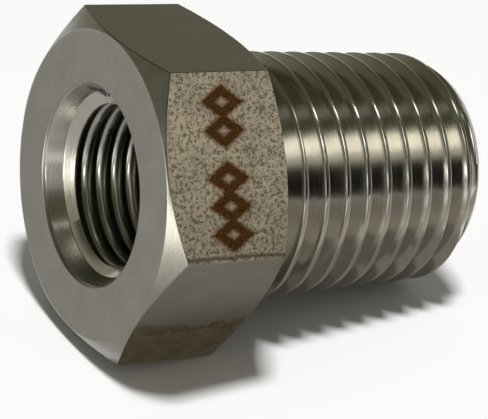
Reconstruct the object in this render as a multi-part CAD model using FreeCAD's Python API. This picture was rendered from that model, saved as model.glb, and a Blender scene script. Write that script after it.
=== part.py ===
"""Hex reducing bushing for pipe work, turned from one hexagon bar.

A hexagon head holds a tapered female port; a tapered male thread leaves the other side of it.
Built along +Z from the centre of the head's front face, then laid down as it comes to rest.
Lengths are in millimetres, angles in degrees.
"""
import FreeCAD, Part
import math
import os

from FreeCAD import Matrix, Placement, Rotation, Vector

# Whole fitting
overall_length = 22.0
thread_taper = 1.0 / 16.0            # loss of diameter per length, on both threads
thread_angle = 60.0                  # between the two flanks of a groove

# Hexagon head
hex_across_flats = 17.0
hex_length = 7.5
front_ring_diameter = 16.8           # flat ring that the front chamfer leaves
front_chamfer_depth = 0.75           # along the axis, at a corner of the hexagon
rear_ring_diameter = 15.8
rear_chamfer_depth = 0.9

# Male thread, 18 threads to the inch
male_pitch = 25.4 / 18.0
male_end_crest_diameter = 13.3       # crest cone, taken on to the plane of the male end
male_groove_depth = 1.0              # from the crests to the sharp bottom
male_first_groove = 1.18             # from the head to the middle of the run-out groove
male_start_angle = -25.0             # about the axis, from the corner that points to the front
male_end_chamfer = 1.0               # 45 degrees, down to the bottom of the thread
run_out_clearance = 0.03             # run-out groove wider and deeper than the thread groove

# Female thread, 27 threads to the inch
female_pitch = 25.4 / 27.0
female_mouth_major_diameter = 9.94   # groove-bottom cone, taken on to the plane of the mouth
female_groove_depth = 0.55
female_start_depth = 0.3             # the tap enters in the open countersink
female_start_angle = -32.0
female_thread_depth = 8.0            # from the mouth to the end of the groove

# Female port and waterway
mouth_edge_break = 0.15
countersink_depth = 1.1
countersink_flare = 0.35             # growth of its radius from the lead-in to the mouth
lead_in_height = 0.71                # on the radius, from the thread's crests out to the countersink
lead_in_length = 0.3                 # of the bevel that leads into the thread
reaming_allowance = 0.02             # on the radius, what the tap drill leaves at the end of the thread
tap_drill_depth = 12.0               # to the drill's full diameter
drill_point_angle = 118.0
waterway_diameter = 7.2
waterway_edge_break = 0.2

# Room that each cutting tool has beyond the metal it cuts
tool_over_run = 0.06                 # above the crests of a thread
tool_reach = 1.5                     # past an end face

half_thread_angle = math.radians(thread_angle / 2)
radius_loss = thread_taper / 2       # loss of radius per length
taper_half_angle = math.degrees(math.atan(radius_loss))
hex_corner_radius = hex_across_flats / math.sqrt(3)


def male_crest_radius(height):
    """Radius of the male thread's crests at a height above the front face."""
    return male_end_crest_diameter / 2 + (overall_length - height) * radius_loss


def female_crest_radius(height):
    """Radius of the female thread's crests, which the taper reamer cuts, at a depth below the mouth."""
    return female_mouth_major_diameter / 2 - female_groove_depth - height * radius_loss


def turned(profile):
    """Solid of revolution about the axis, from a closed outline of (radius, height) points."""
    points = [Vector(radius, 0, height) for radius, height in profile]
    outline = Part.makePolygon(points + [points[0]])
    return Part.Face(outline).revolve(Vector(0, 0, 0), Vector(0, 0, 1), 360)


def hex_bar():
    """Length of hexagon bar, with a corner on +X and so a flat on +Y."""
    corners = []
    for turn in range(7):
        angle = math.radians(60 * turn)
        corners.append(Vector(hex_corner_radius * math.cos(angle), hex_corner_radius * math.sin(angle), 0))
    return Part.Face(Part.makePolygon(corners)).extrude(Vector(0, 0, hex_length))


def chamfer_envelope():
    """Turned outline that the hexagon's corners are cut back to, at the front and at the rear."""
    front_ring = front_ring_diameter / 2
    rear_ring = rear_ring_diameter / 2
    front_slope = (hex_corner_radius - front_ring) / front_chamfer_depth
    rear_slope = (hex_corner_radius - rear_ring) / rear_chamfer_depth
    outside = hex_corner_radius + tool_reach
    return turned([
        (0, 0),
        (front_ring, 0),
        (outside, (outside - front_ring) / front_slope),
        (outside, hex_length - (outside - rear_ring) / rear_slope),
        (rear_ring, hex_length),
        (0, hex_length),
    ])


def hex_head():
    """Hexagon head with both ends chamfered."""
    return hex_bar().common(chamfer_envelope())


def run_out_groove():
    """Closed ring groove beside the head, where the threading tool stops."""
    middle = hex_length + male_first_groove
    crest = male_crest_radius(middle)
    floor = crest - male_groove_depth - run_out_clearance
    top = crest + tool_over_run
    floor_half = run_out_clearance
    top_half = floor_half + (top - floor) * math.tan(half_thread_angle)
    return turned([
        (floor, middle - floor_half),
        (top, middle - top_half),
        (top, middle + top_half),
        (floor, middle + floor_half),
    ])


def thread_groove(pitch, floor_radius, depth, outward, start, end, start_angle):
    """Tapered helical groove of thread form, as a solid to cut away.

    outward is 1 where the groove opens away from the axis and -1 where it opens towards it.
    """
    reach = depth + tool_over_run
    open_half = reach * math.tan(half_thread_angle)
    open_radius = floor_radius + outward * reach
    section = Part.makePolygon([
        Vector(floor_radius, 0, 0),
        Vector(open_radius, 0, -open_half),
        Vector(open_radius, 0, open_half),
        Vector(floor_radius, 0, 0),
    ])
    path = Part.makeLongHelix(pitch, end - start, floor_radius, -taper_half_angle)
    sweep = Part.BRepOffsetAPI.MakePipeShell(Part.Wire(path))
    sweep.setBiNormalMode(Vector(0, 0, 1))
    sweep.add(section)
    sweep.build()
    sweep.makeSolid()
    groove = sweep.shape()
    groove.rotate(Vector(0, 0, 0), Vector(0, 0, 1), start_angle)
    groove.translate(Vector(0, 0, start))
    return groove


def male_groove():
    """Groove of the male thread, from the run-out groove past the male end."""
    start = hex_length + male_first_groove
    floor_radius = male_crest_radius(start) - male_groove_depth
    end = overall_length + tool_reach
    return thread_groove(male_pitch, floor_radius, male_groove_depth, 1, start, end, male_start_angle)


def female_groove():
    """Groove of the female thread, from the open countersink to the end of the tapped length."""
    floor_radius = female_crest_radius(female_start_depth) + female_groove_depth
    return thread_groove(female_pitch, floor_radius, female_groove_depth, -1,
                         female_start_depth, female_thread_depth, female_start_angle)


def male_shank():
    """Tapered blank of the male thread, rooted in the head, with its end chamfer and both grooves."""
    chamfer_start = overall_length - male_end_chamfer
    end_radius = male_crest_radius(chamfer_start) - male_end_chamfer
    root = hex_length / 2
    blank = turned([
        (0, root),
        (male_crest_radius(hex_length), root),
        (male_crest_radius(hex_length), hex_length),
        (male_crest_radius(chamfer_start), chamfer_start),
        (end_radius, overall_length),
        (0, overall_length),
    ])
    return blank.cut(run_out_groove()).cut(male_groove())


def port_and_waterway():
    """Everything drilled and reamed out along the axis, from the mouth to the male end."""
    drill = female_crest_radius(female_thread_depth) - reaming_allowance
    waterway = waterway_diameter / 2
    reamer_leaves = female_thread_depth + reaming_allowance / radius_loss
    drill_point = (drill - waterway) / math.tan(math.radians(drill_point_angle / 2))
    lead_in_end = countersink_depth + lead_in_length
    countersink_floor = female_crest_radius(lead_in_end) + lead_in_height
    mouth = countersink_floor + countersink_flare
    return turned([
        (0, -tool_reach),
        (mouth + mouth_edge_break + tool_reach, -tool_reach),
        (mouth, mouth_edge_break),
        (countersink_floor, countersink_depth),
        (female_crest_radius(lead_in_end), lead_in_end),
        (drill, reamer_leaves),
        (drill, tap_drill_depth),
        (waterway, tap_drill_depth + drill_point),
        (waterway, overall_length - waterway_edge_break),
        (waterway + waterway_edge_break + tool_reach, overall_length + tool_reach),
        (0, overall_length + tool_reach),
    ])


def fitting():
    """The whole fitting, standing on its front face along +Z."""
    body = hex_head().fuse(male_shank())
    return body.cut(port_and_waterway()).cut(female_groove())


def resting_angle():
    """Angle that the axis dips by when the fitting lies on a flat of the head and on its male end."""
    rear_slope = (hex_corner_radius - rear_ring_diameter / 2) / rear_chamfer_depth
    flat = hex_across_flats / 2
    flat_ends = hex_length - max(flat - rear_ring_diameter / 2, 0) / rear_slope
    tip = overall_length - male_end_chamfer
    return math.degrees(math.atan2(flat - male_crest_radius(tip), tip - flat_ends))


def lay_down(shape):
    """Turn the axis from +Z to +X, a flat downwards and a corner to the front, and let the male end dip."""
    on_side = Matrix(0, 0, 1, 0,
                     -1, 0, 0, 0,
                     0, -1, 0, 0,
                     0, 0, 0, 1)
    dip = Placement(Vector(0, 0, 0), Rotation(Vector(0, 1, 0), resting_angle()))
    shape.Placement = dip.multiply(Placement(on_side))
    return shape


os.makedirs("parts", exist_ok=True)
lay_down(fitting()).exportStep("parts/hex_reducing_bushing.step")
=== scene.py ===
"""Looks of the hex reducing bushing: one piece of stainless steel, turned and milled, on a pale floor."""
import math

import bmesh
import bpy
import numpy as np
from bpy.props import FloatProperty, FloatVectorProperty, IntProperty, PointerProperty
from mathutils import Matrix, Vector


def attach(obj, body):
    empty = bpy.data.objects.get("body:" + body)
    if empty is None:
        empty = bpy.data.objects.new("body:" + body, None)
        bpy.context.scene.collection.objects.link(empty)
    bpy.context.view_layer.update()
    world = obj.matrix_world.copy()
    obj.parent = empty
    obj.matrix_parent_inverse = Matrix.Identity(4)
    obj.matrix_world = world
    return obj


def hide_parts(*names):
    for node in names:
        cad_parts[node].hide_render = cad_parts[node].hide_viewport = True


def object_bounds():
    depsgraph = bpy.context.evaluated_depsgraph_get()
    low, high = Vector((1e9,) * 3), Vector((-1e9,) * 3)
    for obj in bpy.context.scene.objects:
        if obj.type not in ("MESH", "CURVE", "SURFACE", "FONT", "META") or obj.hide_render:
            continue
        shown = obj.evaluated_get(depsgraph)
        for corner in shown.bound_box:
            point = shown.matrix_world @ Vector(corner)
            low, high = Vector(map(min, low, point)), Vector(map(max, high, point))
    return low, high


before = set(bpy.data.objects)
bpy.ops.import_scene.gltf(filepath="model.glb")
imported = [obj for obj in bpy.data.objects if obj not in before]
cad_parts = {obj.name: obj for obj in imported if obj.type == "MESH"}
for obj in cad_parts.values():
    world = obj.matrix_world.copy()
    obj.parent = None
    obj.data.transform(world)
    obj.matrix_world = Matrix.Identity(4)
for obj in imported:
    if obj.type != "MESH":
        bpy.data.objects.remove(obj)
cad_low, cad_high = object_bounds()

bl_info = {
    "name": "Hex reducing bushing",
    "version": (1, 0, 0),
    "blender": (4, 5, 0),
    "location": "3D View > Sidebar > Bushing",
    "description": "Builds a hexagon bushing with tapered pipe threads, its steel finishes and its stage",
    "category": "Add Mesh",
}

NODE = "hex_reducing_bushing"
MM = 0.001
SIDE = math.pi / 3                   # angle about the axis that one side of the hexagon takes
HALF_SIDE = SIDE / 2
TOOL_MARK_DEPTH = 0.004 * MM         # of the lines that the cutting tools left in the steel

# Finishes of the faces, in the order of MATERIAL_MAKERS
TURNED, FLAT, ETCHED, THREAD, PORT_CREST, PORT_GROOVE, BORED = range(7)

# Middle and reach of each hollow of the dent at the top of the port, in millimetres, X along the axis
# The dent's hollows keep the wall's shape, and their shade is painted near black.
DENT = (
    ((0.80, 2.45, 4.58), 0.52),
    ((1.02, 2.25, 4.58), 0.40),
    ((1.15, 1.95, 4.52), 0.30),
    ((1.19, 1.55, 4.60), 0.20),
)

# Corners of a square, in order
SQUARE = ((-1, -1), (1, -1), (1, 1), (-1, 1))

# What the lamps and cards are aimed at, in millimetres, and the tints of the lamps
SHANK = Vector((12, -2, 0))
MOUTH = Vector((1, -3, 0))
WARM = (1.0, 0.97, 0.88)
WHITE = (1.0, 1.0, 0.96)


def length(name, description, millimetres):
    """A length property, given in millimetres and held in metres."""
    return FloatProperty(name=name, description=description, default=millimetres * MM, unit="LENGTH",
                         precision=5)


def angle(name, description, degrees):
    """An angle property, given in degrees and held in radians."""
    return FloatProperty(name=name, description=description, default=math.radians(degrees), unit="ROTATION")


def colour(name, description, value):
    """A colour property."""
    return FloatVectorProperty(name=name, description=description, default=value, size=3, min=0, max=1,
                               subtype="COLOR")


def lengths(name, description, *millimetres):
    """A property that holds several lengths, given in millimetres and held in metres."""
    return FloatVectorProperty(name=name, description=description, size=len(millimetres), unit="LENGTH",
                               precision=5, default=[value * MM for value in millimetres])


class HeadSizes(bpy.types.PropertyGroup):
    """Sizes of the hexagon head."""
    across_flats: length("Across flats", "Distance between opposite flats", 17.0)
    length: length("Length", "Length of the head along the axis", 7.5)
    corner_radius: length("Corner radius", "Rounding of the six long corners", 0.13)
    front_ring: length("Front ring", "Diameter of the flat ring that the front chamfer leaves", 16.8)
    front_chamfer: length("Front chamfer", "Depth of the front chamfer at a corner", 0.75)
    rear_ring: length("Rear ring", "Diameter of the flat ring that the rear chamfer leaves", 15.8)
    rear_chamfer: length("Rear chamfer", "Depth of the rear chamfer at a corner", 0.9)
    edge_round: length("Edge rounding", "Rounding of the chamfers' edges", 0.06)


class MaleSizes(bpy.types.PropertyGroup):
    """Sizes of the shank and its male thread."""
    overall: length("Overall length", "From the front face to the male end", 22.0)
    pitch: length("Pitch", "Distance from crest to crest", 25.4 / 18.0)
    end_crest: length("End crest diameter", "Crest cone in the plane of the male end", 13.3)
    depth: length("Groove depth", "From the crests to the bottom", 1.0)
    first_groove: length("First groove", "From the head to the middle of the run-out groove", 1.18)
    run_out_clearance: length("Run-out clearance", "Extra width and depth of the run-out groove", 0.03)
    end_chamfer: length("End chamfer", "Chamfer of 45 degrees at the male end", 1.0)
    start: angle("Start", "Where the groove begins, about the axis from the front corner", -25.0)
    collar_round: length("Collar rounding", "Rounding where the collar meets the head", 0.03)
    crest_round: length("Crest rounding", "Rounding of the crests' edges", 0.05)
    root_round: length("Root rounding", "Rounding of the groove's bottom", 0.06)


class PortSizes(bpy.types.PropertyGroup):
    """Sizes of the female port and the waterway."""
    pitch: length("Pitch", "Distance from crest to crest", 25.4 / 27.0)
    major: length("Major diameter", "Groove-bottom cone in the plane of the mouth", 9.74)
    depth: length("Groove depth", "From the rounded crests to the bottom", 0.45)
    start_depth: length("Start depth", "Where the groove begins, from the mouth", 0.3)
    start: angle("Start", "Where the groove begins, about the axis from the front corner", -32.0)
    thread_depth: length("Thread depth", "From the mouth to the end of the groove", 8.0)
    run_out: length("Run-out", "Length over which the groove fades away", 0.6)
    edge_break: length("Edge break", "Small chamfer at the mouth", 0.15)
    countersink_depth: length("Countersink depth", "Depth of the countersink", 1.1)
    flare: length("Countersink flare", "Growth of the countersink's radius to the mouth", 0.35)
    lead_in_height: length("Lead-in height", "Of the bevel, on the radius", 0.71)
    lead_in_length: length("Lead-in length", "Of the bevel, along the axis", 0.3)
    reaming: length("Reaming allowance", "On the radius, left by the tap drill", 0.02)
    drill_depth: length("Drill depth", "To the tap drill's full diameter", 12.0)
    drill_point: angle("Drill point", "Included angle of the drill's point", 118.0)
    waterway: length("Waterway", "Diameter of the waterway", 7.2)
    waterway_edge: length("Waterway edge break", "Small chamfer at the male end", 0.2)
    crest_round: length("Crest rounding", "Rounding of the crests' edges", 0.19)
    root_round: length("Root rounding", "Rounding of the groove's bottom", 0.04)
    mouth_round: length("Mouth rounding", "Rounding of the mouth's and the countersink's edges", 0.04)
    waterway_round: length("Waterway rounding", "Rounding of the edges at the male end", 0.05)


class WholeSizes(bpy.types.PropertyGroup):
    """Sizes that the whole fitting shares."""
    taper: FloatProperty(name="Taper", description="Loss of diameter per length on both threads",
                         default=1 / 16)
    thread_angle: angle("Thread angle", "Between the two flanks of a groove", 60.0)
    columns: IntProperty(name="Columns", description="Steps round the axis", default=360, min=36)


class FinishSettings(bpy.types.PropertyGroup):
    """Colours of the steel, and the marks on the etched flat."""
    steel: colour("Steel", "Colour of the bare steel", (0.36, 0.35, 0.315))
    cut: colour("Cut thread", "Colour of the male thread and the bevel in the port", (0.58, 0.565, 0.52))
    crest: colour("Port crests", "Colour of the bright crests in the port", (0.44, 0.43, 0.39))
    # The port's grooves are darker than its crests: painted shade deep in the port.
    groove: colour("Port grooves", "Colour of the grooves in the port", (0.20, 0.19, 0.16))
    bored: colour("Bored wall", "Colour of the countersink's wall", (0.55, 0.54, 0.50))
    # The dent's colour is painted shade, near black, in hollows that have no depth.
    dent: colour("Dent", "Colour of the dent at the top of the port", (0.015, 0.014, 0.012))
    # Painted reflection: the brown patch low on the lower flat, darker along its wavy top.
    painted_reflection: colour("Stain", "Colour of the stain on the lower flat", (0.35, 0.30, 0.205))
    etched: colour("Etched ground", "Colour of the etched flat", (0.44, 0.385, 0.285))
    speck: colour("Speck", "Colour of the dark specks on the etched flat", (0.06, 0.045, 0.03))
    mark: colour("Mark", "Colour of the heat-tinted marks", (0.058, 0.022, 0.001))
    halo: colour("Halo", "Colour of the tint round the marks", (0.36, 0.24, 0.16))
    mark_along: length("Mark place", "From the front face to the middle of the marks", 3.6)
    mark_half_width: length("Mark half width", "Half of a mark, along the axis", 1.22)
    mark_half_height: length("Mark half height", "Half of a mark, over the flat", 0.86)
    mark_rows: lengths("Mark rows", "From the middle of the flat towards the front corner",
                       -3.35, -1.85, 0.6, 2.05, 3.5)
    border: length("Border", "From the middle of the flat to the line along its lower edge", 4.66)


class StageSettings(bpy.types.PropertyGroup):
    """Camera, floor and lights."""
    azimuth: angle("Azimuth", "Direction of the camera round the fitting", -32.27)
    elevation: angle("Elevation", "Height of the camera above the horizon", 27.35)
    roll: angle("Roll", "Turn of the camera about its own axis", 4.52)
    distance: length("Distance", "From the camera to the point it aims at", 110.8)
    aim: lengths("Aim", "Point that the camera aims at", 6.97, -4.75, -0.57)
    lens: FloatProperty(name="Lens", description="Focal length on a sensor 36 mm wide", default=151.9,
                        unit="CAMERA")
    floor_size: length("Floor size", "Width of the square floor", 1600.0)
    floor_colour: colour("Floor", "Colour of the floor", (0.92, 0.92, 0.92))
    room_colour: colour("Room", "Light that comes from all round", (0.215, 0.206, 0.19))
    low_room: colour("Low room", "What the steel mirrors near the horizon", (0.285, 0.28, 0.215))
    high_room: colour("High room", "What the steel mirrors overhead", (0.085, 0.085, 0.05))


def off_corner(turn):
    """Angle about the axis from the nearest corner of the hexagon."""
    return (turn + HALF_SIDE) % SIDE - HALF_SIDE


def rounded_hexagon(turn, head):
    """Radius of the hexagon in each direction.

    Along a flat it is the apothem over the cosine of the angle from the flat's middle. Near a corner it is
    the far crossing of the ray with the rounding circle, which touches both flats.
    """
    apothem = head.across_flats / 2
    rounding = head.corner_radius
    off = off_corner(turn)
    flat = apothem / np.cos(HALF_SIDE - np.abs(off))
    centre = (apothem - rounding) / math.cos(HALF_SIDE)
    inside = np.maximum(rounding ** 2 - (centre * np.sin(off)) ** 2, 0)
    circle = centre * np.cos(off) + np.sqrt(inside)
    touch = math.atan2(rounding * math.sin(HALF_SIDE), centre + rounding * math.cos(HALF_SIDE))
    return np.where(np.abs(off) < touch, circle, flat)


def columns_round(count, seam):
    """Angles of the columns for one turn from the seam: even steps, with finer ones at the six corners."""
    step = math.radians(0.11)
    steps_each_side = 4
    clear_of_corner = math.radians(0.6)
    even = seam + np.linspace(0, 2 * math.pi, count + 1)
    kept = even[np.abs(off_corner(even)) > clear_of_corner]
    corners = SIDE * np.arange(6)
    near = step * np.arange(-steps_each_side, steps_each_side + 1)
    return np.sort(np.concatenate([kept, (corners[:, None] + near).ravel()]))


class Outline:
    """Closed outline of the axial section, for all columns at once.

    Each point has its place along the axis and its radius, both once per column.
    """

    def __init__(self, columns):
        """Empty outline for that number of columns."""
        self.columns = columns
        self.points = []
        self.rounds = []
        self.finishes = []

    def to(self, along, radius, finish, rounding=0.0):
        """Straight line to the next point, with the line's finish and the point's rounding."""
        point = np.stack([np.broadcast_to(along, self.columns), np.broadcast_to(radius, self.columns)])
        self.points.append(point.astype(float))
        self.rounds.append(rounding)
        self.finishes.append(finish)

    def rows(self):
        """Rows of the grid, and the finish of the strip that leads to each row.

        A rounded point becomes three points of the quadratic curve that leaves and meets the two lines at
        the rounding's distance from the point, or at 0.45 of a line that is shorter than that.
        """
        largest_share = 0.45
        tiny = 1e-12
        points = np.array(self.points)
        before = np.roll(points, 1, 0) - points
        after = np.roll(points, -1, 0) - points
        reach_before = np.linalg.norm(before, axis=1)
        reach_after = np.linalg.norm(after, axis=1)
        rows = []
        finishes = []
        for index, rounding in enumerate(self.rounds):
            corner = points[index]
            shares = (0.0, 0.5, 1.0) if rounding else (0.0,)
            cut = np.minimum(rounding, largest_share * np.minimum(reach_before[index], reach_after[index]))
            start = corner + before[index] * (cut / np.maximum(reach_before[index], tiny))
            end = corner + after[index] * (cut / np.maximum(reach_after[index], tiny))
            for share in shares:
                rows.append((1 - share) ** 2 * start + 2 * share * (1 - share) * corner + share ** 2 * end)
                finishes.append(self.finishes[index])
        return np.array(rows), np.array(finishes)


def crossing(inside, outside, height_inside, height_outside):
    """Point where the line between two points meets zero height, with the heights given at both."""
    tiny = 1e-15
    drop = height_inside - height_outside
    share = np.clip(height_inside / np.where(np.abs(drop) < tiny, tiny, drop), 0, 1)
    return inside + (outside - inside) * share


def chamfer_slope(head, ring, depth):
    """Step along the axis for each step out in radius, on a chamfer from a ring to a corner of the bar."""
    return depth / (head.across_flats / math.sqrt(3) - ring / 2)


def flank_rise(whole):
    """Step in radius for each step along the axis, on the flank of a thread."""
    return 1 / math.tan(whole.thread_angle / 2)


def male_cone(along, male, whole):
    """Radius of the cone of the male thread's crests, which loses half the taper for each step along."""
    return male.end_crest / 2 + (male.overall - along) * whole.taper / 2


def port_cone(along, port, whole):
    """Radius of the cone of the port thread's crests, which loses half the taper for each step along."""
    return port.major / 2 - port.depth - along * whole.taper / 2


def head_outline(outline, turn, head):
    """Front ring, front chamfer, flats, rear chamfer and rear ring of the head.

    A chamfer's edge on a flat lies along the axis by how far the hexagon stands out over the ring there,
    times the chamfer's slope.
    """
    hexagon = rounded_hexagon(turn, head)
    front_ring = head.front_ring / 2
    rear_ring = head.rear_ring / 2
    front_slope = chamfer_slope(head, head.front_ring, head.front_chamfer)
    rear_slope = chamfer_slope(head, head.rear_ring, head.rear_chamfer)
    front_end = (hexagon - front_ring) * front_slope
    rear_start = head.length - (hexagon - rear_ring) * rear_slope
    outline.to(0, front_ring, TURNED, head.edge_round)
    outline.to(front_end, hexagon, TURNED, head.edge_round)
    outline.to(rear_start, hexagon, FLAT, head.edge_round)
    outline.to(head.length, rear_ring, TURNED, head.edge_round)


def cut_ridge_start(ridge, over, slope_foot):
    """Foot, left edge and right edge of a ridge, cut by the far slope of the run-out groove.

    over holds the heights of the ridge's four points over that slope. A point that stands over it moves on
    along the ridge to where the ridge leaves the slope, or to the slope's own foot.
    """
    foot, left, right, far_foot = ridge
    on_far_flank = np.where(over[3] > 0, slope_foot, crossing(far_foot, right, over[3], over[2]))
    on_crest = crossing(right, left, over[2], over[1])
    cut_left = np.where(over[1] > 0, np.where(over[2] > 0, on_far_flank, on_crest), left)
    cut_right = np.where(over[2] > 0, on_far_flank, right)
    return np.where(over[0] > 0, slope_foot, foot), cut_left, cut_right


def cut_ridge_end(ridge, over):
    """Left edge, kink and right edge of a ridge, cut by the end chamfer.

    over holds the heights of the ridge's four points over the chamfer. The kink is where the chamfer meets
    the ridge first, or the middle of a whole crest.
    """
    foot, left, right, far_foot = ridge
    on_flank = crossing(foot, left, over[0], over[1])
    on_crest = crossing(left, right, over[1], over[2])
    on_far_flank = crossing(far_foot, right, over[3], over[2])
    kink = np.where(over[2] > 0, np.where(over[1] > 0, on_flank, on_crest), (left + right) / 2)
    return np.where(over[1] > 0, on_flank, left), kink, np.where(over[2] > 0, on_far_flank, right)


def shank_outline(outline, turn, head, male, whole):
    """Collar, run-out groove, male thread, end chamfer and end face.

    A ridge of the thread lies between two groove bottoms. Its left foot, crest edges and right foot move
    along the axis by one pitch a turn. It is cut by the run-out groove's far slope and by the end chamfer,
    and what is past the end face folds on to it.
    """
    rise = flank_rise(whole)
    middle = head.length + male.first_groove
    floor = male_cone(middle, male, whole) - male.depth - male.run_out_clearance
    floor_start = middle - male.run_out_clearance
    floor_end = middle + male.run_out_clearance
    groove_top = floor_start - (male_cone(middle, male, whole) - floor) / rise
    chamfer_start = male.overall - male.end_chamfer
    end_radius = male_cone(chamfer_start, male, whole) - male.end_chamfer

    def over_slope(point):
        """Height of a point over the far slope of the run-out groove."""
        return point[1] - floor - (point[0] - floor_end) * rise

    def over_chamfer(point):
        """Height of a point over the end chamfer."""
        return point[1] - end_radius - (male.overall - point[0])

    def under_cone(along, drop):
        """Point that lies a drop under the crests."""
        return np.stack([along, male_cone(along, male, whole) - drop])

    outline.to(head.length, male_cone(head.length, male, whole), TURNED, male.collar_round)
    outline.to(groove_top, male_cone(groove_top, male, whole), TURNED, male.crest_round)
    outline.to(floor_start, floor, THREAD)
    outline.to(floor_end, floor, THREAD)
    slope_foot = np.stack([np.full(len(turn), floor_end), np.full(len(turn), floor)])
    half_groove = male.depth / rise
    phase = (turn - male.start) / (2 * math.pi)
    last = slope_foot
    ridges = int((male.overall - middle) / male.pitch) + 2
    for ridge in range(-1, ridges - 1):
        bottom = middle + male.pitch * (ridge + phase)
        foot = under_cone(bottom, male.depth)
        left = under_cone(bottom + half_groove, 0)
        right = under_cone(bottom + male.pitch - half_groove, 0)
        far_foot = under_cone(bottom + male.pitch, male.depth)
        over = [over_slope(point) for point in (foot, left, right, far_foot)]
        foot, left, right = cut_ridge_start((foot, left, right, far_foot), over, slope_foot)
        over = [over_chamfer(point) for point in (foot, left, right, far_foot)]
        left, kink, right = cut_ridge_end((foot, left, right, far_foot), over)
        rounds = (male.root_round, male.crest_round, 0.0, male.crest_round)
        for point, rounding in zip((foot, left, kink, right), rounds):
            on_end = crossing(last, point, male.overall - last[0], male.overall - point[0])
            folded = np.where(last[0] < male.overall, on_end, last)
            point = np.where(point[0] > male.overall, folded, point)
            outline.to(*point, THREAD, rounding)
            last = point


def port_outline(outline, turn, male, port, whole):
    """Waterway, tap drill, female thread, lead-in, countersink and mouth, from the male end back.

    A groove has its far edge, bottom and near edge on the axis at steps of one pitch a turn, and it fades
    away at its end. What would lie in the open lead-in folds on to the lead-in's bevel.
    """
    rise = flank_rise(whole)
    waterway = port.waterway / 2
    thread_end = port_cone(port.thread_depth, port, whole)
    drill = thread_end - port.reaming
    reamer_end = port.thread_depth + port.reaming / (whole.taper / 2)
    point_length = (drill - waterway) / math.tan(port.drill_point / 2)
    lead_in_end = port.countersink_depth + port.lead_in_length
    lead_in_radius = port_cone(lead_in_end, port, whole)
    countersink_floor = lead_in_radius + port.lead_in_height
    mouth = countersink_floor + port.flare
    bevel = port.lead_in_height / port.lead_in_length

    def over_bevel(point):
        """Height of a point over the bevel of the lead-in."""
        return point[1] - lead_in_radius - (lead_in_end - point[0]) * bevel

    outline.to(male.overall, waterway + port.waterway_edge, TURNED, port.waterway_round)
    outline.to(male.overall - port.waterway_edge, waterway, TURNED, port.waterway_round)
    outline.to(port.drill_depth + point_length, waterway, TURNED)
    outline.to(port.drill_depth, drill, PORT_CREST)
    outline.to(reamer_end, drill, PORT_CREST)
    last = np.stack([np.full(len(turn), port.thread_depth), np.full(len(turn), thread_end)])
    outline.to(*last, PORT_CREST)
    phase = (turn - port.start) / (2 * math.pi)
    grooves = int((port.thread_depth - port.start_depth) / port.pitch) + 1
    for groove in range(grooves - 1, -1, -1):
        middle = port.start_depth + port.pitch * (groove + phase)
        depth = port.depth * np.clip((port.thread_depth - middle) / port.run_out, 0, 1)
        for side, drop, finish, rounding in ((1, 0, PORT_CREST, port.crest_round),
                                             (0, 1, PORT_GROOVE, port.root_round),
                                             (-1, 0, PORT_GROOVE, port.crest_round)):
            along = np.minimum(middle + side * depth / rise, port.thread_depth)
            point = np.stack([along, port_cone(along, port, whole) + drop * depth])
            over, over_last = over_bevel(point), over_bevel(last)
            folded = np.where(over_last > 0, crossing(last, point, over_last, over), last)
            point = np.where(over < 0, folded, point)
            outline.to(*point, finish, rounding)
            last = point
    outline.to(port.countersink_depth, countersink_floor, THREAD, port.mouth_round)
    outline.to(port.edge_break, mouth, BORED, port.mouth_round)
    outline.to(0, mouth + port.edge_break, TURNED, port.mouth_round)


def resting_angle(head, male, whole):
    """Angle that the axis dips by when the fitting lies on a flat of the head and on its male end."""
    flat = head.across_flats / 2
    rear_slope = chamfer_slope(head, head.rear_ring, head.rear_chamfer)
    flat_end = head.length - max(flat - head.rear_ring / 2, 0) * rear_slope
    tip = male.overall - male.end_chamfer
    return math.atan2(flat - male_cone(tip, male, whole), tip - flat_end)


def lay_down(along, radius, turn, dip):
    """Points of the row frame, from the distance along the axis, the radius and the angle about the axis.

    The axis goes to +X, the front corner to -Y and the lower flat to -Z, then all turn about +Y by the dip.
    """
    level_z = -radius * np.sin(turn)
    x = along * math.cos(dip) + level_z * math.sin(dip)
    y = -radius * np.cos(turn)
    z = level_z * math.cos(dip) - along * math.sin(dip)
    return np.stack([x, y, z], axis=-1)


def grid_mesh(name, points, finishes):
    """Mesh of a grid whose rows close on themselves and whose first and last columns meet."""
    merge_distance = 0.0003 * MM
    rows, columns = points.shape[:2]
    mesh = bpy.data.meshes.new(name)
    index = np.arange(rows * columns).reshape(rows, columns)
    below = np.roll(index, 1, 0)
    quads = np.stack([below[:, :-1], index[:, :-1], index[:, 1:], below[:, 1:]], axis=-1).reshape(-1, 4)
    mesh.from_pydata(points.reshape(-1, 3).tolist(), [], quads.tolist())
    mesh.polygons.foreach_set("material_index", finishes.ravel().astype(np.int32))
    shell = bmesh.new()
    shell.from_mesh(mesh)
    bmesh.ops.remove_doubles(shell, verts=shell.verts, dist=merge_distance)
    bmesh.ops.recalc_face_normals(shell, faces=shell.faces)
    shell.to_mesh(mesh)
    shell.free()
    keep_flats_flat(mesh)
    return mesh


def keep_flats_flat(mesh):
    """Smooth shading in which a large face keeps its own normal and the small rounding beside it bends.

    The normal at a vertex is the sum of its faces' normals, each times the square of its face's area.
    """
    least_weight = 1e-15
    tiny = 1e-30
    faces, loops = len(mesh.polygons), len(mesh.loops)
    normals, areas = np.empty(faces * 3), np.empty(faces)
    sides, corners = np.empty(faces, np.int32), np.empty(loops, np.int32)
    mesh.polygons.foreach_get("normal", normals)
    mesh.polygons.foreach_get("area", areas)
    mesh.polygons.foreach_get("loop_total", sides)
    mesh.loops.foreach_get("vertex_index", corners)
    weight = (areas / areas.max()) ** 2 + least_weight
    pull = np.repeat(normals.reshape(-1, 3) * weight[:, None], sides, axis=0)
    total = np.zeros((len(mesh.vertices), 3))
    np.add.at(total, corners, pull)
    total /= np.maximum(np.linalg.norm(total, axis=1), tiny)[:, None]
    mesh.polygons.foreach_set("use_smooth", np.ones(faces, bool))
    mesh.normals_split_custom_set_from_vertices(total.tolist())


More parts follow.
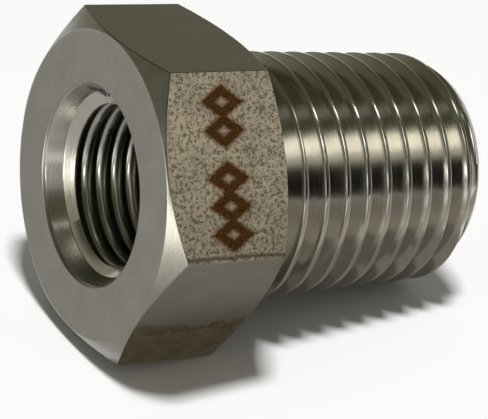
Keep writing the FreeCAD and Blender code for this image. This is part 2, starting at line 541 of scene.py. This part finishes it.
def shade(tone, factor=1.0):
    """Colour with each channel times a factor, as four numbers, of which the last says opaque."""
    return (*(channel * factor for channel in tone), 1.0)


class Shader:
    """Short way to add nodes to the tree of one material or world."""

    def __init__(self, owner):
        """Empty tree of that material or world."""
        owner.use_nodes = True
        self.tree = owner.node_tree
        self.tree.nodes.clear()

    def put(self, socket, value):
        """Link a socket to an input, or set its value."""
        if isinstance(value, bpy.types.NodeSocket):
            self.tree.links.new(value, socket)
        elif value is not None:
            socket.default_value = value

    def add(self, kind, *values, **settings):
        """New node, with its settings, and its inputs linked or set in order. None skips an input."""
        node = self.tree.nodes.new("ShaderNode" + kind)
        for key, value in settings.items():
            setattr(node, key, value)
        for socket, value in zip(node.inputs, values):
            self.put(socket, value)
        return node

    def fill(self, node, inputs):
        """Link or set inputs of a node by their names, and return the node."""
        for name, value in inputs.items():
            self.put(node.inputs[name], value)
        return node

    def math(self, operation, *values):
        """Result of a Math node."""
        return self.add("Math", *values, operation=operation).outputs[0]

    def times(self, value, factor):
        """Value times a factor."""
        return self.math("MULTIPLY", value, factor)

    def off(self, value, middle):
        """Distance of a value from a middle."""
        return self.math("ABSOLUTE", self.math("SUBTRACT", value, middle))

    def largest(self, values):
        """Largest of several values."""
        top = values[0]
        for value in values[1:]:
            top = self.math("MAXIMUM", top, value)
        return top

    def noise(self, vector, scale, detail, roughness):
        """Value of a Noise Texture."""
        node = self.add("TexNoise", vector)
        self.fill(node, {"Scale": scale, "Detail": detail, "Roughness": roughness})
        return node.outputs["Fac"]

    def span(self, value, low, high, to_low, to_high):
        """Value moved from one range to another, held inside it."""
        return self.add("MapRange", value, low, high, to_low, to_high, clamp=True).outputs[0]

    def above(self, value, none, full):
        """Share that rises from 0 at the first limit to 1 at the second."""
        return self.span(value, none, full, 0.0, 1.0)

    def below(self, value, full, none):
        """Share that falls from 1 at the first limit to 0 at the second."""
        return self.span(value, full, none, 1.0, 0.0)

    def spread(self, noise, low, high):
        """Noise, most of which lies between 0.3 and 0.7, spread from low to high."""
        return self.span(noise, 0.3, 0.7, low, high)

    def mix(self, share, first, second):
        """Mix of two colours. A Mix node has its colours at inputs 6 and 7, and their mix at output 2."""
        node = self.add("Mix", share, data_type="RGBA")
        self.put(node.inputs[6], first)
        self.put(node.inputs[7], second)
        return node.outputs[2]

    def varied(self, share, tone, first, second):
        """Colour that goes from one shade of a tone to another, each a factor on the tone."""
        return self.mix(share, shade(tone, first), shade(tone, second))

    def surface(self, kind, tone):
        """Plain surface of that kind of shader and that colour, wired to a material's output."""
        self.add("OutputMaterial", self.add(kind, shade(tone)).outputs[0])


class SteelShader(Shader):
    """Shader of one finish of the fitting.

    place is the position in millimetres with X along the fitting's axis, and along, across and up are its
    three parts.
    """

    def __init__(self, name, dip):
        """New material of that name, for a fitting whose axis dips by that angle."""
        self.material = bpy.data.materials.new(name)
        super().__init__(self.material)
        level = self.add("Mapping", self.add("TexCoord").outputs["Object"], None, (0, -dip, 0),
                         (1 / MM, 1 / MM, 1 / MM), vector_type="POINT")
        self.place = level.outputs[0]
        self.along, self.across, self.up = self.add("SeparateXYZ", self.place).outputs

    def rings(self, per_along, per_radius, scale, detail):
        """Fine rings about the axis: noise of the distance along the axis and the radius alone."""
        squares = self.math("ADD", self.times(self.across, self.across), self.times(self.up, self.up))
        radius = self.math("SQRT", squares)
        ring = self.add("CombineXYZ", self.times(self.along, per_along), self.times(radius, per_radius))
        return self.noise(ring.outputs[0], scale, detail, roughness=0.6)

    def clouds(self, scale, detail, roughness):
        """Soft clouds, the same in all directions."""
        return self.noise(self.place, scale, detail, roughness)

    def tinted(self, clouds, tone, dark, light):
        """Colour that clouds shade from the dark factor to the light one."""
        return self.varied(self.spread(clouds, 0.0, 1.0), tone, dark, light)

    def dented(self, base, finish):
        """Colour with the dent that something left in the port's wall and in the bevel behind it: painted
        shade, near black.
        """
        solid_share = 0.55
        darkness = 0.92
        hollows = []
        for middle, reach in DENT:
            away = self.add("VectorMath", self.place, middle, operation="DISTANCE").outputs["Value"]
            hollows.append(self.below(away, reach * solid_share, reach))
        return self.mix(self.times(self.largest(hollows), darkness), base, shade(finish.dent))

    def steel(self, base, roughness, relief, strength, depth=TOOL_MARK_DEPTH):
        """Principled steel with a relief in its surface, wired to the output."""
        bump = self.fill(self.add("Bump"), {"Height": relief, "Strength": strength, "Distance": depth})
        node = self.fill(self.add("BsdfPrincipled"), {
            "Base Color": base,
            "Metallic": 1.0,
            "Roughness": roughness,
            "Normal": bump.outputs[0],
        })
        self.add("OutputMaterial", node.outputs[0])
        return node


def turned_steel(finish, dip):
    """Faces that a lathe cut: fine rings about the axis, with faint wider waves in their gloss."""
    shader = SteelShader("turned_steel", dip)
    rings = shader.rings(per_along=9.0, per_radius=9.0, scale=2.2, detail=3.0)
    clouds = shader.clouds(scale=0.55, detail=3.0, roughness=0.55)
    base = shader.tinted(clouds, finish.steel, dark=0.92, light=1.06)
    roughness = shader.math("ADD", shader.spread(rings, 0.24, 0.34), shader.spread(clouds, -0.03, 0.04))
    shader.steel(base, roughness, relief=rings, strength=0.25)
    return shader.material


def paint_low_reflection(shader, finish, base):
    """Colour with a painted reflection low on the front: a brown patch, which waves along its top and is
    darker there.

    The level of a point is its height, counted square to the axis, with the waves added to it.
    """
    wave_height = 3.0
    dark_level = -4.0
    dark_reach = 0.45
    darkness = 0.55
    waves = shader.clouds(scale=1.1, detail=4.0, roughness=0.65)
    level = shader.math("ADD", shader.up, shader.times(waves, wave_height))
    low = shader.below(level, -3.9, -3.65)
    at_front = shader.below(shader.across, -4.9, -4.6)
    brown = shader.varied(shader.above(waves, 0.4, 0.6), finish.painted_reflection, 1.08, 0.8)
    top = shader.span(shader.off(level, dark_level), 0.0, dark_reach, darkness, 0.0)
    brown = shader.mix(top, brown, shade(finish.painted_reflection, 0.35))
    return shader.mix(shader.times(low, at_front), base, brown)


def milled_flat(finish, dip):
    """Flats of the hexagon bar: fine lines along the bar, soft clouds, and a painted reflection on the
    lower one.
    """
    shader = SteelShader("milled_flat", dip)
    stretched = shader.add("Mapping", shader.place, None, (0, 0, 0), (0.25, 9.0, 9.0))
    lines = shader.noise(stretched.outputs[0], scale=1.6, detail=3.0, roughness=0.6)
    clouds = shader.clouds(scale=0.45, detail=4.0, roughness=0.6)
    base = paint_low_reflection(shader, finish, shader.tinted(clouds, finish.steel, dark=0.88, light=1.05))
    roughness = shader.math("ADD", shader.spread(lines, 0.28, 0.38), shader.spread(clouds, -0.03, 0.05))
    shader.steel(base, roughness, relief=lines, strength=0.2)
    return shader.material


def etched_ground(shader, finish, over, specks):
    """Clouded ground with dark specks, a wavy dark line along its lower border, and a darker lower half."""
    speck_strength = 0.75
    line_strength = 0.75
    wave_height = 0.5
    lower_darkness = 0.2
    clouds = shader.clouds(scale=0.7, detail=3.0, roughness=0.6)
    ground = shader.varied(shader.above(clouds, 0.35, 0.65), finish.etched, 0.85, 1.12)
    ground = shader.mix(shader.times(specks, speck_strength), ground, shade(finish.speck))
    wave = shader.times(shader.math("SUBTRACT", clouds, 0.5), wave_height)
    border = shader.off(shader.math("ADD", over, wave), finish.border / MM)
    line = shader.span(border, 0.04, 0.16, line_strength, 0.0)
    ground = shader.mix(line, ground, shade(finish.speck, 0.9))
    return shader.mix(shader.span(over, 0.0, 4.4, 0.0, lower_darkness), ground, shade(finish.speck))


def diamonds(shader, finish, over, grain):
    """Shares of ink and of halo for the column of marks.

    The reach of a point is its distance from a mark's middle along the axis, over the half width, and its
    distance over the flat, over the half height, added up. So lines of one reach are diamonds, which some
    grain roughens. The ink lies near one reach, and the halo is all that lies within it.
    """
    ink_reach = 0.84
    grain_strength = 0.3
    from_column = shader.off(shader.along, finish.mark_along / MM)
    wide = shader.math("DIVIDE", from_column, finish.mark_half_width / MM)
    inks = []
    halos = []
    for row in finish.mark_rows:
        tall = shader.math("DIVIDE", shader.off(over, row / MM), finish.mark_half_height / MM)
        reach = shader.math("ADD", shader.math("ADD", wide, tall), shader.times(grain, grain_strength))
        inks.append(shader.below(shader.off(reach, ink_reach), 0.26, 0.6))
        halos.append(shader.below(reach, 1.1, 1.7))
    return shader.largest(inks), shader.largest(halos)


def etched_flat(finish, dip):
    """The marked flat: a matt speckled ground with a column of heat-tinted diamonds.

    A position over the flat is its distance from the flat's middle towards the front corner.
    """
    halo_strength = 0.35
    ink_strength = 0.98
    shader = SteelShader("etched_flat", dip)
    over = shader.math("SUBTRACT", shader.times(shader.across, -math.sin(HALF_SIDE)),
                       shader.times(shader.up, math.cos(HALF_SIDE)))
    grain = shader.clouds(scale=5.0, detail=2.0, roughness=0.6)
    fine = shader.clouds(scale=11.0, detail=1.0, roughness=0.5)
    specks = shader.below(shader.math("ADD", shader.times(grain, 0.6), shader.times(fine, 0.4)), 0.41, 0.53)
    ink, halo = diamonds(shader, finish, over, grain)
    ground = etched_ground(shader, finish, over, specks)
    ground = shader.mix(shader.times(halo, halo_strength), ground, shade(finish.halo))
    brown = shader.varied(shader.above(fine, 0.35, 0.6), finish.mark, 0.45, 1.5)
    base = shader.mix(shader.times(ink, ink_strength), ground, brown)
    roughness = shader.span(ink, 0.0, 1.0, 0.55, 0.5)
    node = shader.steel(base, roughness, relief=specks, strength=0.35, depth=0.01 * MM)
    shader.fill(node, {"Metallic": 0.6, "Specular IOR Level": 0.15})
    return shader.material


def cut_thread(finish, dip):
    """Male thread and the bevel in the port: bright, with rings from the cutting tool, and the dent."""
    shader = SteelShader("cut_thread", dip)
    rings = shader.rings(per_along=4.0, per_radius=12.0, scale=1.5, detail=2.0)
    clouds = shader.clouds(scale=0.8, detail=3.0, roughness=0.55)
    base = shader.dented(shader.tinted(clouds, finish.cut, dark=0.95, light=1.05), finish)
    shader.steel(base, shader.spread(rings, 0.12, 0.21), relief=rings, strength=0.2)
    return shader.material


def tapped_steel(name, tone, roughness, dip):
    """Steel of the tapped thread, with rings from the tap that vary its roughness by a fifth."""
    shader = SteelShader(name, dip)
    rings = shader.rings(per_along=6.0, per_radius=10.0, scale=2.0, detail=2.0)
    clouds = shader.clouds(scale=0.8, detail=3.0, roughness=0.55)
    base = shader.tinted(clouds, tone, dark=0.92, light=1.05)
    shader.steel(base, shader.spread(rings, roughness * 0.8, roughness * 1.2), relief=rings, strength=0.15)
    return shader.material


def port_crest(finish, dip):
    """Crests of the port's thread, which the reamer left bright."""
    return tapped_steel("port_crest", finish.crest, 0.20, dip)


def port_groove(finish, dip):
    """Grooves of the port's thread, darker than its crests: painted shade deep in the port."""
    return tapped_steel("port_groove", finish.groove, 0.22, dip)


def bored_wall(finish, dip):
    """Wall of the countersink: bright rings from the boring tool, and the dent."""
    shader = SteelShader("bored_wall", dip)
    rings = shader.rings(per_along=9.0, per_radius=9.0, scale=2.2, detail=3.0)
    clouds = shader.clouds(scale=0.55, detail=3.0, roughness=0.55)
    base = shader.dented(shader.tinted(clouds, finish.bored, dark=0.94, light=1.05), finish)
    shader.steel(base, shader.spread(rings, 0.18, 0.28), relief=rings, strength=0.2)
    return shader.material


MATERIAL_MAKERS = (turned_steel, milled_flat, etched_flat, cut_thread, port_crest, port_groove, bored_wall)


def finish_grid(finishes, turn):
    """Finish of each face: that of its row, but etched on the last flat of a turn from the front corner."""
    middle = (turn[:-1] + turn[1:]) / 2
    grid = np.repeat(finishes[:, None], len(middle), axis=1)
    on_last_flat = middle % (2 * math.pi) > 5 * SIDE
    grid[(grid == FLAT) & on_last_flat] = ETCHED
    return grid


def add_object(name, data):
    """New object in the scene, with that mesh, lamp or camera."""
    thing = bpy.data.objects.new(name, data)
    bpy.context.scene.collection.objects.link(thing)
    return thing


class BUSHING_OT_fitting(bpy.types.Operator):
    """Build the fitting as one closed surface, from its axial section carried round the axis."""
    bl_idname = "bushing.fitting"
    bl_label = "Fitting"

    def execute(self, context):
        """Make the surface and its finishes, and say which solid it stands for."""
        scene = context.scene
        head, male = scene.bushing_head, scene.bushing_male
        port, whole = scene.bushing_port, scene.bushing_whole
        turn = columns_round(whole.columns, male.start)
        outline = Outline(len(turn))
        head_outline(outline, turn, head)
        shank_outline(outline, turn, head, male, whole)
        port_outline(outline, turn, male, port, whole)
        rows, finishes = outline.rows()
        dip = resting_angle(head, male, whole)
        points = lay_down(rows[:, 0], rows[:, 1], turn, dip)
        piece = add_object("bushing_body", grid_mesh("bushing_body", points, finish_grid(finishes, turn)))
        for maker in MATERIAL_MAKERS:
            piece.data.materials.append(maker(scene.bushing_finish, dip))
        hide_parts(NODE)
        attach(piece, "root")
        return {"FINISHED"}


def direction(azimuth, elevation):
    """Unit vector from an azimuth about +Z, counted from +X, and an elevation, both in degrees."""
    flat = math.cos(math.radians(elevation))
    return Vector((flat * math.cos(math.radians(azimuth)), flat * math.sin(math.radians(azimuth)),
                   math.sin(math.radians(elevation))))


def facing(place, target):
    """Turn that points an object's own -Z from a place to a target."""
    return (place - target).to_track_quat("Z", "Y")


def add_lamp(name, width, height, radiance, place, target, tint=(1.0, 1.0, 1.0)):
    """Rectangular soft lamp at a place, aimed at a target, with sizes and places in millimetres.

    Its power is its radiance times pi times its area.
    """
    light = bpy.data.lights.new(name, "AREA")
    light.shape = "RECTANGLE"
    light.size = width * MM
    light.size_y = height * MM
    light.energy = radiance * math.pi * light.size * light.size_y
    light.color = tint
    lamp = add_object(name, light)
    lamp.location = place * MM
    lamp.rotation_mode = "QUATERNION"
    lamp.rotation_quaternion = facing(place, target)
    return lamp


def add_board(name, corners, kind, tone):
    """Flat piece of the stage between four corners, with a plain surface."""
    mesh = bpy.data.meshes.new(name)
    mesh.from_pydata(corners, [], [(0, 1, 2, 3)])
    material = bpy.data.materials.new(name)
    Shader(material).surface(kind, tone)
    mesh.materials.append(material)
    board = add_object(name, mesh)
    return board


def add_card(name, width, height, tone, place, target):
    """Card of a photographer's studio, which shows only as a reflection in the steel."""
    turn = facing(place, target)
    corners = [(turn @ Vector((x * width / 2, y * height / 2, 0)) + place) * MM for x, y in SQUARE]
    card = add_board(name, corners, "Emission", tone)
    card.visible_camera = False
    card.visible_diffuse = False
    card.visible_shadow = False


def lay_floor(stage):
    """Square floor, at the level that the fitting lies on."""
    half = stage.floor_size / 2
    corners = [(x * half, y * half, cad_low.z) for x, y in SQUARE]
    add_board("floor", corners, "BsdfDiffuse", stage.floor_colour)


def light_room(stage):
    """World that is plain light for the floor, and a darker room, paler near the horizon, in the steel."""
    world = bpy.data.worlds.new("studio")
    shader = Shader(world)
    up = shader.add("SeparateXYZ", shader.add("TexCoord").outputs["Generated"]).outputs[2]
    mirrored = shader.mix(shader.above(up, 0.2, 0.55), shade(stage.low_room), shade(stage.high_room))
    in_steel = shader.add("LightPath").outputs["Is Glossy Ray"]
    room = shader.add("Background", shader.mix(in_steel, shade(stage.room_colour), mirrored))
    shader.add("OutputWorld", room.outputs[0])
    bpy.context.scene.world = world


def hang_lamps():
    """One lamp overhead that lights the floor and not the steel, and seven that show only in the steel."""
    overhead = add_lamp("overhead_lamp", 120, 120, 126.5, SHANK + direction(-112, 78) * 800, SHANK)
    overhead.visible_glossy = False
    for name, width, height, radiance, target, away, tint in (
            ("window_lamp", 70, 40, 2.7, SHANK, direction(-54, 41) * 150, WARM),
            ("sill_lamp", 60, 18, 0.8, SHANK, direction(-58, 29) * 150, WARM),
            ("spark_lamp", 24, 12, 4.5, SHANK, direction(-7, 43) * 150, WHITE),
            ("upper_lamp", 34, 12, 0.55, SHANK, direction(-14, 65) * 150, WHITE),
            ("left_lamp", 22, 10, 6.0, MOUTH, Vector((-42, 4.5, -3.8)), WARM),
            ("glint_lamp", 30, 8, 1.5, MOUTH, direction(-102, 72) * 150, WHITE),
            ("crest_lamp", 9, 4, 5.5, MOUTH, direction(-136, 10) * 20, WHITE)):
        lamp = add_lamp(name, width, height, radiance, target + away, target, tint)
        lamp.visible_diffuse = False


def set_up_cards():
    """Four cards that stand round the fitting, and seven that lie on the floor and face up."""
    for name, width, height, tone, target, away in (
            ("dark_flag", 60, 57, (0.002, 0.0, 0.0), SHANK, direction(-68, 9.5) * 110),
            ("dim_flag", 32, 57, (0.09, 0.075, 0.06), SHANK, direction(-45, 9.5) * 112),
            ("port_card", 26, 46, (0.36, 0.35, 0.33), MOUTH, direction(-102, 17) * 100),
            ("side_card", 28, 60, (0.70, 0.69, 0.65), MOUTH, direction(-118, 15) * 100)):
        add_card(name, width, height, tone, target + away, target)
    sky = Vector((0, 0, 100))
    # The outer, inner and shank cards lie where the fitting's contact shadow falls, under its lower flat
    # and shank: a painted shadow, seen only in the steel.
    for name, width, depth, tone, place in (
            ("left_card", 90, 90, (0.50, 0.49, 0.46), (-46.5, 35, -9.3)),
            ("mouth_card", 20, 25, (0.42, 0.41, 0.38), (-12, -23, -9.3)),
            ("outer_shadow_card", 12, 5, (0.36, 0.335, 0.29), (5, -10.1, -9.3)),
            ("inner_shadow_card", 11, 4, (0.13, 0.12, 0.10), (4.5, -5.6, -9.3)),
            ("shank_shadow_card", 15, 8, (0.24, 0.22, 0.19), (17.5, -8.6, -9.3)),
            ("front_card", 90, 62.4, (0.375, 0.355, 0.31), (44, -43.8, -9.3)),
            ("near_card", 30, 9, (0.48, 0.455, 0.40), (18, -17.1, -9.25))):
        add_card(name, width, depth, tone, Vector(place), Vector(place) + sky)


def set_up_camera(stage):
    """Camera at the photograph's viewing angle. It looks along +Y where its azimuth is 0."""
    camera = add_object("camera", bpy.data.cameras.new("camera"))
    camera.data.sensor_width = 36.0
    camera.data.lens = stage.lens
    camera.data.clip_start = 1 * MM
    camera.data.clip_end = 5000 * MM
    back = Vector((math.sin(stage.azimuth) * math.cos(stage.elevation),
                   -math.cos(stage.azimuth) * math.cos(stage.elevation), math.sin(stage.elevation)))
    rolled = Matrix.Rotation(stage.roll, 3, "Z").to_quaternion()
    camera.rotation_mode = "QUATERNION"
    camera.rotation_quaternion = back.to_track_quat("Z", "Y") @ rolled
    camera.location = Vector(stage.aim) + back * stage.distance
    bpy.context.scene.camera = camera


class BUSHING_OT_stage(bpy.types.Operator):
    """Lay the floor, hang the lights and set up the camera."""
    bl_idname = "bushing.stage"
    bl_label = "Stage"

    def execute(self, context):
        """Make the stage from its settings."""
        stage = context.scene.bushing_stage
        lay_floor(stage)
        light_room(stage)
        hang_lamps()
        set_up_cards()
        set_up_camera(stage)
        context.scene.view_settings.view_transform = "Standard"
        return {"FINISHED"}


GROUPS = {
    "bushing_head": (HeadSizes, "Head"),
    "bushing_male": (MaleSizes, "Shank and male thread"),
    "bushing_port": (PortSizes, "Port and waterway"),
    "bushing_whole": (WholeSizes, "Whole fitting"),
    "bushing_finish": (FinishSettings, "Finish"),
    "bushing_stage": (StageSettings, "Stage"),
}


class BUSHING_PT_panel(bpy.types.Panel):
    """Lists the fitting's sizes, finishes and stage, and the two operators."""
    bl_idname = "BUSHING_PT_panel"
    bl_label = "Hex reducing bushing"
    bl_space_type = "VIEW_3D"
    bl_region_type = "UI"
    bl_category = "Bushing"

    def draw(self, context):
        """One box for each group of settings, and a button for each operator."""
        for name, (group, label) in GROUPS.items():
            box = self.layout.box()
            box.label(text=label)
            settings = getattr(context.scene, name)
            for key in group.__annotations__:
                box.prop(settings, key)
        self.layout.operator("bushing.fitting")
        self.layout.operator("bushing.stage")


CLASSES = [group for group, _ in GROUPS.values()]
CLASSES += [BUSHING_OT_fitting, BUSHING_OT_stage, BUSHING_PT_panel]


def register():
    """Add the classes to Blender, and each group of settings to the scene."""
    for cls in CLASSES:
        bpy.utils.register_class(cls)
    for name, (group, _) in GROUPS.items():
        setattr(bpy.types.Scene, name, PointerProperty(type=group))


def unregister():
    """Take all of it out again."""
    for name in GROUPS:
        delattr(bpy.types.Scene, name)
    for cls in reversed(CLASSES):
        bpy.utils.unregister_class(cls)


def main():
    """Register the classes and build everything."""
    register()
    bpy.ops.bushing.fitting()
    bpy.ops.bushing.stage()


if __name__ == "__main__":
    main()
